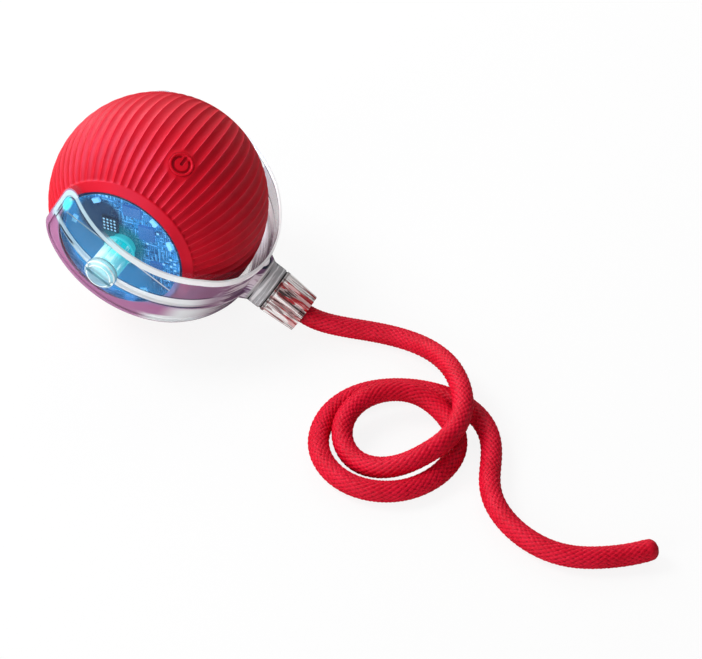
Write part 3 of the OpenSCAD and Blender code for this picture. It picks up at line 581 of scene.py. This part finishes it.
def sleeve_belt():
    """Ball of radius 40 from one rim to the other: 64 flutes along the meridians, each a shallow parabola between two
    sharp ridges; they run out on a cone round each opening and round the button's hole, whose border is drawn in to a
    circle; an inner skin of even radius follows the same grid."""
    share = np.array([0.0, 0.07, 0.28, 0.5, 0.72, 0.93])
    turns = RIBS * len(share)
    round_way = ((np.arange(RIBS)[:, None] + share).ravel() * 2 * np.pi / RIBS) + RIB_TURN
    rim = [RIM_ANGLE, 39.9, 40.1, 40.6, 42.5, 44.3, 44.8, 45.0, 45.2, 45.5, 45.9, 46.4, 47.2, 48.4]
    near = np.concatenate([rim, np.linspace(50, 90, 40)])
    polar = np.concatenate([near, 180 - near[-2::-1]])
    steps = len(polar)
    from_pole = np.minimum(polar, 180 - polar)
    land_fall, land_run, land_sum = 1.92, 3.11, 142.2
    cone = land_sum / (land_fall * np.sin(np.radians(from_pole)) + land_run * np.cos(np.radians(from_pole)))
    lip = np.interp(from_pole, rim[:4], [0.2, 0.07, 0.01, 0])
    skin = np.minimum(cone, BALL_R - 0.02) - lip
    dip = np.tile(1 - (2 * share - 1) ** 2, RIBS)
    a = round_way[:, None]

    def ways(degrees):
        """Directions from the ball's centre at those angles from the pole, all the way round."""
        p = np.radians(degrees)[None, :]
        return np.stack([np.cos(a) * np.sin(p), -np.cos(p) + 0 * a, np.sin(a) * np.sin(p)], -1)

    way = ways(polar)
    inner_way = ways(INNER_RIM + (polar - RIM_ANGLE) * (180 - 2 * INNER_RIM) / (180 - 2 * RIM_ANGLE))
    from_button = BALL_R * np.arccos(np.clip(way @ BUTTON_WAY, -1, 1))
    ribbed = smooth(RIB_START, RIB_START + 1.0, from_pole)[None, :] * smooth(4.8, 6.4, from_button)
    depth = FLUTE * dip[:, None] * ribbed
    middle = unit(way + np.roll(way, -1, 0) + np.roll(way, (-1, -1), (0, 1)) + np.roll(way, -1, 1))[:, :-1]
    hole = BALL_R * np.arccos(np.clip(middle @ BUTTON_WAY, -1, 1)) < HOLE_R
    kept = quads(turns, steps, close_rows=True)[~hole.ravel()]
    count = turns * steps
    lines = np.concatenate([kept[:, [0, 1]], kept[:, [1, 2]], kept[:, [2, 3]], kept[:, [3, 0]]])
    both = np.sort(lines, 1) @ np.array([count, 1])
    _, first, times = np.unique(both, return_index=True, return_counts=True)
    border = lines[first[times == 1]]
    outer = (BALL_AT + way * (skin[None, :] - depth)[..., None]).reshape(-1, 3)
    inner = (BALL_AT + inner_way * SLEEVE_IN).reshape(-1, 3)
    brink = np.unique(border)
    brink = brink[from_button.ravel()[brink] < 2 * HOLE_R]
    for points, level in ((outer, BALL_R - 0.05), (inner, SLEEVE_IN)):
        flat = points[brink] - BALL_AT
        flat = unit(flat - (flat @ BUTTON_WAY)[:, None] * BUTTON_WAY)
        points[brink] = BALL_AT + HOLE_R * flat + math.sqrt(level ** 2 - HOLE_R ** 2) * BUTTON_WAY
    walls = np.stack([border[:, 1], border[:, 0], border[:, 0] + count, border[:, 1] + count], -1)
    # Painted shade in the flutes' hollows and in the gap at each rim; below nought, a painted highlight on the ridges
    shade = (0.2 * dip[:, None] - 0.16 * (1 - dip[:, None]) ** 4) * ribbed + 0.5 * (from_pole < 39.95)[None, :]
    sunk = np.concatenate([shade.ravel(), np.zeros(count)])
    return np.concatenate([outer, inner]), [kept, kept[:, ::-1] + count, walls], sunk


*shape, sunk = sleeve_belt()
belt = piece("ribbed_sleeve", *shape, red_silicone, "ball", "red_silicone", ["sleeve"])
mark(belt, "sunk", sunk)
sharpen(belt, 38)


# Power button

def power_button():
    """Polar height field over a disc of 8.8 mm: raised outer ring, sunk ring broken at the top, sunk upright bar;
    the rim runs down to a flat underside and the stem."""
    turns = 180
    r = np.concatenate([[0.001], np.linspace(0.1, 4.2, 58), [4.28, 4.34, 4.38, BUTTON_R]])
    a = np.arange(turns) * 2 * np.pi / turns
    rr, aa = np.meshgrid(r, a)
    x, y = rr * np.cos(aa), rr * np.sin(aa)
    from_top = np.abs((aa - np.pi / 2 + np.pi) % (2 * np.pi) - np.pi)
    arc_r, arc_half, arc_open = 2.92, 0.06, math.radians(34)
    arc = np.hypot(rr - arc_r, np.maximum(0, arc_open - from_top) * rr) - arc_half
    bar_from, bar_to, bar_half = 0.2, 2.9, 0.2
    bar = np.hypot(x, np.maximum(0, np.maximum(bar_from - y, y - bar_to))) - bar_half
    sunk = 1 - smooth(0.30, 0.48, np.minimum(arc, bar))
    ring = smooth(3.45, 3.75, rr)
    rim = 1 - np.sqrt(np.clip(1 - (np.maximum(0, rr - 4.1) / 0.3) ** 2, 0, 1))
    top = BUTTON_FACE + 0.26 * ring - 0.5 * sunk - 0.3 * rim
    wall = np.array([(BUTTON_R, 38.6), (4.36, 38.3), (STEM_R, 38.28), (STEM_R, 36.0), (0.001, 35.95)])
    under = (turns, len(wall))
    radius = np.concatenate([rr, np.broadcast_to(wall[:, 0], under)], 1)
    height = np.concatenate([top, np.broadcast_to(wall[:, 1], under)], 1)
    # Painted shade in the sunk power sign
    dark = np.concatenate([sunk, np.zeros(under)], 1)
    spot = (radius * np.cos(a)[:, None])[..., None] * BUTTON_SIDE + (radius * np.sin(a)[:, None])[..., None] * BUTTON_UP
    face = BALL_AT + spot + height[..., None] * BUTTON_WAY
    return face, [quads(turns, radius.shape[1], True)[:, ::-1]], dark.ravel() * 0.42


*shape, sunk = power_button()
button = piece("power_button_face", *shape, red_silicone, "power_button", "red_silicone", ["power_button"])
mark(button, "sunk", sunk)
sharpen(button, 50)


# Braided rope

def rope_line():
    """Middle line of the rope: uniform cubic B-spline through the same points as the solid, at even steps."""
    nut_end = (BALL_R - NUT_END_R * math.cos(NECK_DROP)) / math.sin(NECK_DROP)
    lead = np.linspace(ROPE_FROM, nut_end + 3.2, 4)[:, None] * NECK_WAY + BALL_AT
    lie = [
        (69.5, 1, 4.2), (77.5, 2.8, 3.9), (86, 4.5, 3.8), (94.5, 5, 4), (103, 3.5, 5), (111, -1, 7.4),
        (118, -7, 10), (123.5, -13.5, 12), (128.5, -20.5, 12.8), (132, -28, 12.8), (133.5, -36, 12.8),
        (132.5, -44.5, 12.2), (128, -52, 10.8), (122.5, -57.5, 8.4), (115.5, -60.5, 6.2), (108, -60.5, 4.8),
        (101.5, -57.5, 4.4), (96.5, -52.5, 5.4), (94, -45.5, 7.2), (95, -38, 8.8), (99, -31.5, 9.8),
        (105.5, -26.5, 10), (113, -24, 9), (120.5, -24.5, 6.4), (127, -27.5, 4.2), (132, -33, 3.8),
        (135, -41, 3.8), (134.5, -50, 3.8), (131, -58.5, 3.8), (125, -65.5, 3.8), (116.5, -69.5, 3.8),
        (107.5, -70, 3.8), (99, -67, 3.8), (92, -61, 3.8), (88, -53.5, 3.8), (86.5, -45, 3.8),
        (87.5, -36.5, 3.8), (91.5, -28.5, 3.8), (98, -22.5, 3.8), (106, -18.5, 3.8), (114.5, -16.5, 3.8),
        (123.5, -16.5, 3.8), (132, -19, 3.8), (139.5, -24.5, 3.8), (144.5, -32, 3.8), (147.5, -40.5, 3.8),
        (150, -49, 3.8), (154.5, -57, 3.8), (161.5, -63.5, 3.8), (169.5, -68, 3.8), (178.5, -70.5, 3.8),
        (187.5, -70, 3.8), (196, -66.5, 3.8), (204, -61.5, 3.8), (209, -58, 4.6), (212.5, -55.5, 5.4)]
    p = np.concatenate([lead, np.array(lie, float)])
    p = np.concatenate([[2 * p[0] - p[1]], p, [2 * p[-1] - p[-2]]])
    per_span, steps = 24, 1180
    t = np.linspace(0, 1, per_span, endpoint=False)[None, :, None]
    a, b, c, d = (p[k:len(p) - 3 + k, None, :] for k in range(4))
    line = ((1 - t) ** 3 * a + (3 * t ** 3 - 6 * t ** 2 + 4) * b
            + (1 + 3 * t + 3 * t ** 2 - 3 * t ** 3) * c + t ** 3 * d) / 6
    line = np.concatenate([line.reshape(-1, 3), [(p[-3] + 4 * p[-2] + p[-1]) / 6]])
    run = np.concatenate([[0], np.cumsum(np.linalg.norm(np.diff(line, axis=0), axis=1))])
    even = np.linspace(0, run[-1], steps)
    return np.stack([np.interp(even, run, line[:, k]) for k in range(3)], -1), even


def braided_rope(line, run):
    """Tube of 7.6 mm along the line: two families of 14 helical strands pass over and under each other cell by cell,
    each float a round arch across and along; the free end is drawn in to a sealed dome."""
    around, strands, cell = 70, 14, 2.5
    relief, dome_len, melted = 0.5, 3.0, 0.55
    way = unit(np.gradient(line, axis=0))
    side = unit(np.cross(way, [0.0, 0.0, 1.0]))
    rise = np.cross(side, way)
    turn = np.arange(around) / around
    first = strands * turn[None, :] + run[:, None] / cell
    second = strands * turn[None, :] - run[:, None] / cell
    over = (np.floor(first) + np.floor(second)) % 2 == 0
    u, v = first % 1, second % 1
    across, along = np.where(over, u, v), np.where(over, v, u)
    strand = np.sqrt(np.clip(1 - (2 * across - 1) ** 2, 0, 1)) * (0.5 + 0.5 * np.sin(np.pi * along))
    left = (run[-1] - run)[:, None]
    sealed = 1 - smooth(1.0, 5.0, left)
    strand = strand * (1 - sealed) + melted * sealed
    dome = np.sqrt(np.clip(1 - (1 - np.clip(left / dome_len, 0, 1)) ** 2, 0.0004, 1))
    radius = (ROPE_D / 2 - relief * (1 - strand)) * dome
    a = 2 * np.pi * turn[None, :, None]
    points = line[:, None, :] + radius[..., None] * (np.cos(a) * side[:, None, :] + np.sin(a) * rise[:, None, :])
    count = len(line) * around
    ring = np.arange(around)
    start = np.stack([np.full(around, count), (ring + 1) % around, ring], -1)
    end = np.stack([np.full(around, count + 1), count - around + ring, count - around + (ring + 1) % around], -1)
    points = np.concatenate([points.reshape(-1, 3), line[:1], line[-1:]])
    height = np.concatenate([strand.ravel(), [0.5, 0.5]])
    return points, [quads(len(line), around, close_columns=True), start, end], height


line, run = rope_line()
points, faces, height = braided_rope(line, run)
rope = piece("braided_rope", points, faces, braid, "yoke", "red_rope", ["rope"])
mark(rope, "strand", height)


# Stage: pale floor, soft lamps, camera

def rays(wire):
    """1 where a ray comes from the eye, or through something clear, and 1 where it is mirrored."""
    seen, through, glossy = (wire.add("ShaderNodeLightPath", out=f"Is {kind} Ray") for kind in (
        "Camera", "Transmission", "Glossy"))
    return (seen + through).below(1.0), glossy


def stage_floor():
    """Flat square of pale floor just under the toy: almost white where it is seen, dim where it is mirrored."""
    half, level = 4, -0.0002
    f = Finish("pale_floor", Roughness=0.9, Specular_IOR_Level=0.1)
    shown, glossy = rays(f.place)
    f.set(Base_Color=glossy.blend(grey(0.88), grey(0.06)))
    f.second(shown * 0.88, Base_Color=BLACK, Roughness=1.0, Specular_IOR_Level=0.0,
             Emission_Color=grey(1.0), Emission_Strength=1.0)
    mesh = bpy.data.meshes.new("floor")
    corners = [(-half, -half, level), (half, -half, level), (half, half, level), (-half, half, level)]
    mesh.from_pydata(corners, [], [(0, 1, 2, 3)])
    mesh.materials.append(f.material)
    floor = bpy.data.objects.new("floor", mesh)
    bpy.context.scene.collection.objects.link(floor)


def lamp(name, toward, distance, size, power, mirrored=True):
    """Square soft white lamp that looks at the ball from a direction; one that isn't mirrored shows in no gloss."""
    data = bpy.data.lights.new(name, "AREA")
    data.shape, data.size, data.energy = "SQUARE", size, power
    obj = bpy.data.objects.new(name, data)
    way = Vector(toward).normalized()
    looks_at = Vector((0.03, 0, 0.03))
    obj.location = looks_at + way * distance
    obj.rotation_mode = "QUATERNION"
    obj.rotation_quaternion = way.to_track_quat("Z", "Y")
    obj.visible_glossy = mirrored
    bpy.context.scene.collection.objects.link(obj)


def pale_world():
    """Pale surroundings, brighter on the left: white where they are seen or seen through, dimmer as light."""
    world = bpy.data.worlds.new("surroundings")
    world.use_nodes = True
    bpy.context.scene.world = world
    tree = world.node_tree
    outward = Wire(tree, tree.nodes.new("ShaderNodeTexCoord").outputs["Generated"])
    shown, glossy = rays(outward)
    left = outward.along((-1, 0, 0)).ease(-0.6, 0.9)
    light = 0.23 + left * 0.17 + glossy * (left * 0.65 - 0.23)
    fill(tree.nodes["Background"], {"Color": grey(1.0), "Strength": light + shown * (1.0 - light)})


def camera():
    """Camera at the photograph's place: 24.2 degrees round to the right, 42.3 degrees above the floor."""
    data = bpy.data.cameras.new("camera")
    data.lens, data.sensor_width = 114.6, 36
    turn, rise = math.radians(24.21), math.radians(42.25)
    back = Vector((math.sin(turn) * math.cos(rise), -math.cos(turn) * math.cos(rise), math.sin(rise)))
    obj = bpy.data.objects.new("camera", data)
    obj.location = (0.32358, -0.54916, 0.55256)
    obj.rotation_mode = "QUATERNION"
    obj.rotation_quaternion = (-back).to_track_quat("-Z", "Y")
    bpy.context.scene.collection.objects.link(obj)
    bpy.context.scene.camera = obj


stage_floor()
pale_world()
lamp("key", (-0.62, -0.1, 0.75), 0.9, 0.4, 5.8)
lamp("front", (-0.2, -1.0, 0.35), 1.0, 0.6, 4.2)
lamp("back", (-0.1, 0.75, 0.6), 0.9, 0.5, 2.0, mirrored=False)
lamp("rim", (-0.85, 0.5, 0.4), 0.9, 0.5, 2.2)
camera()
bpy.context.scene.view_settings.view_transform = "Standard"
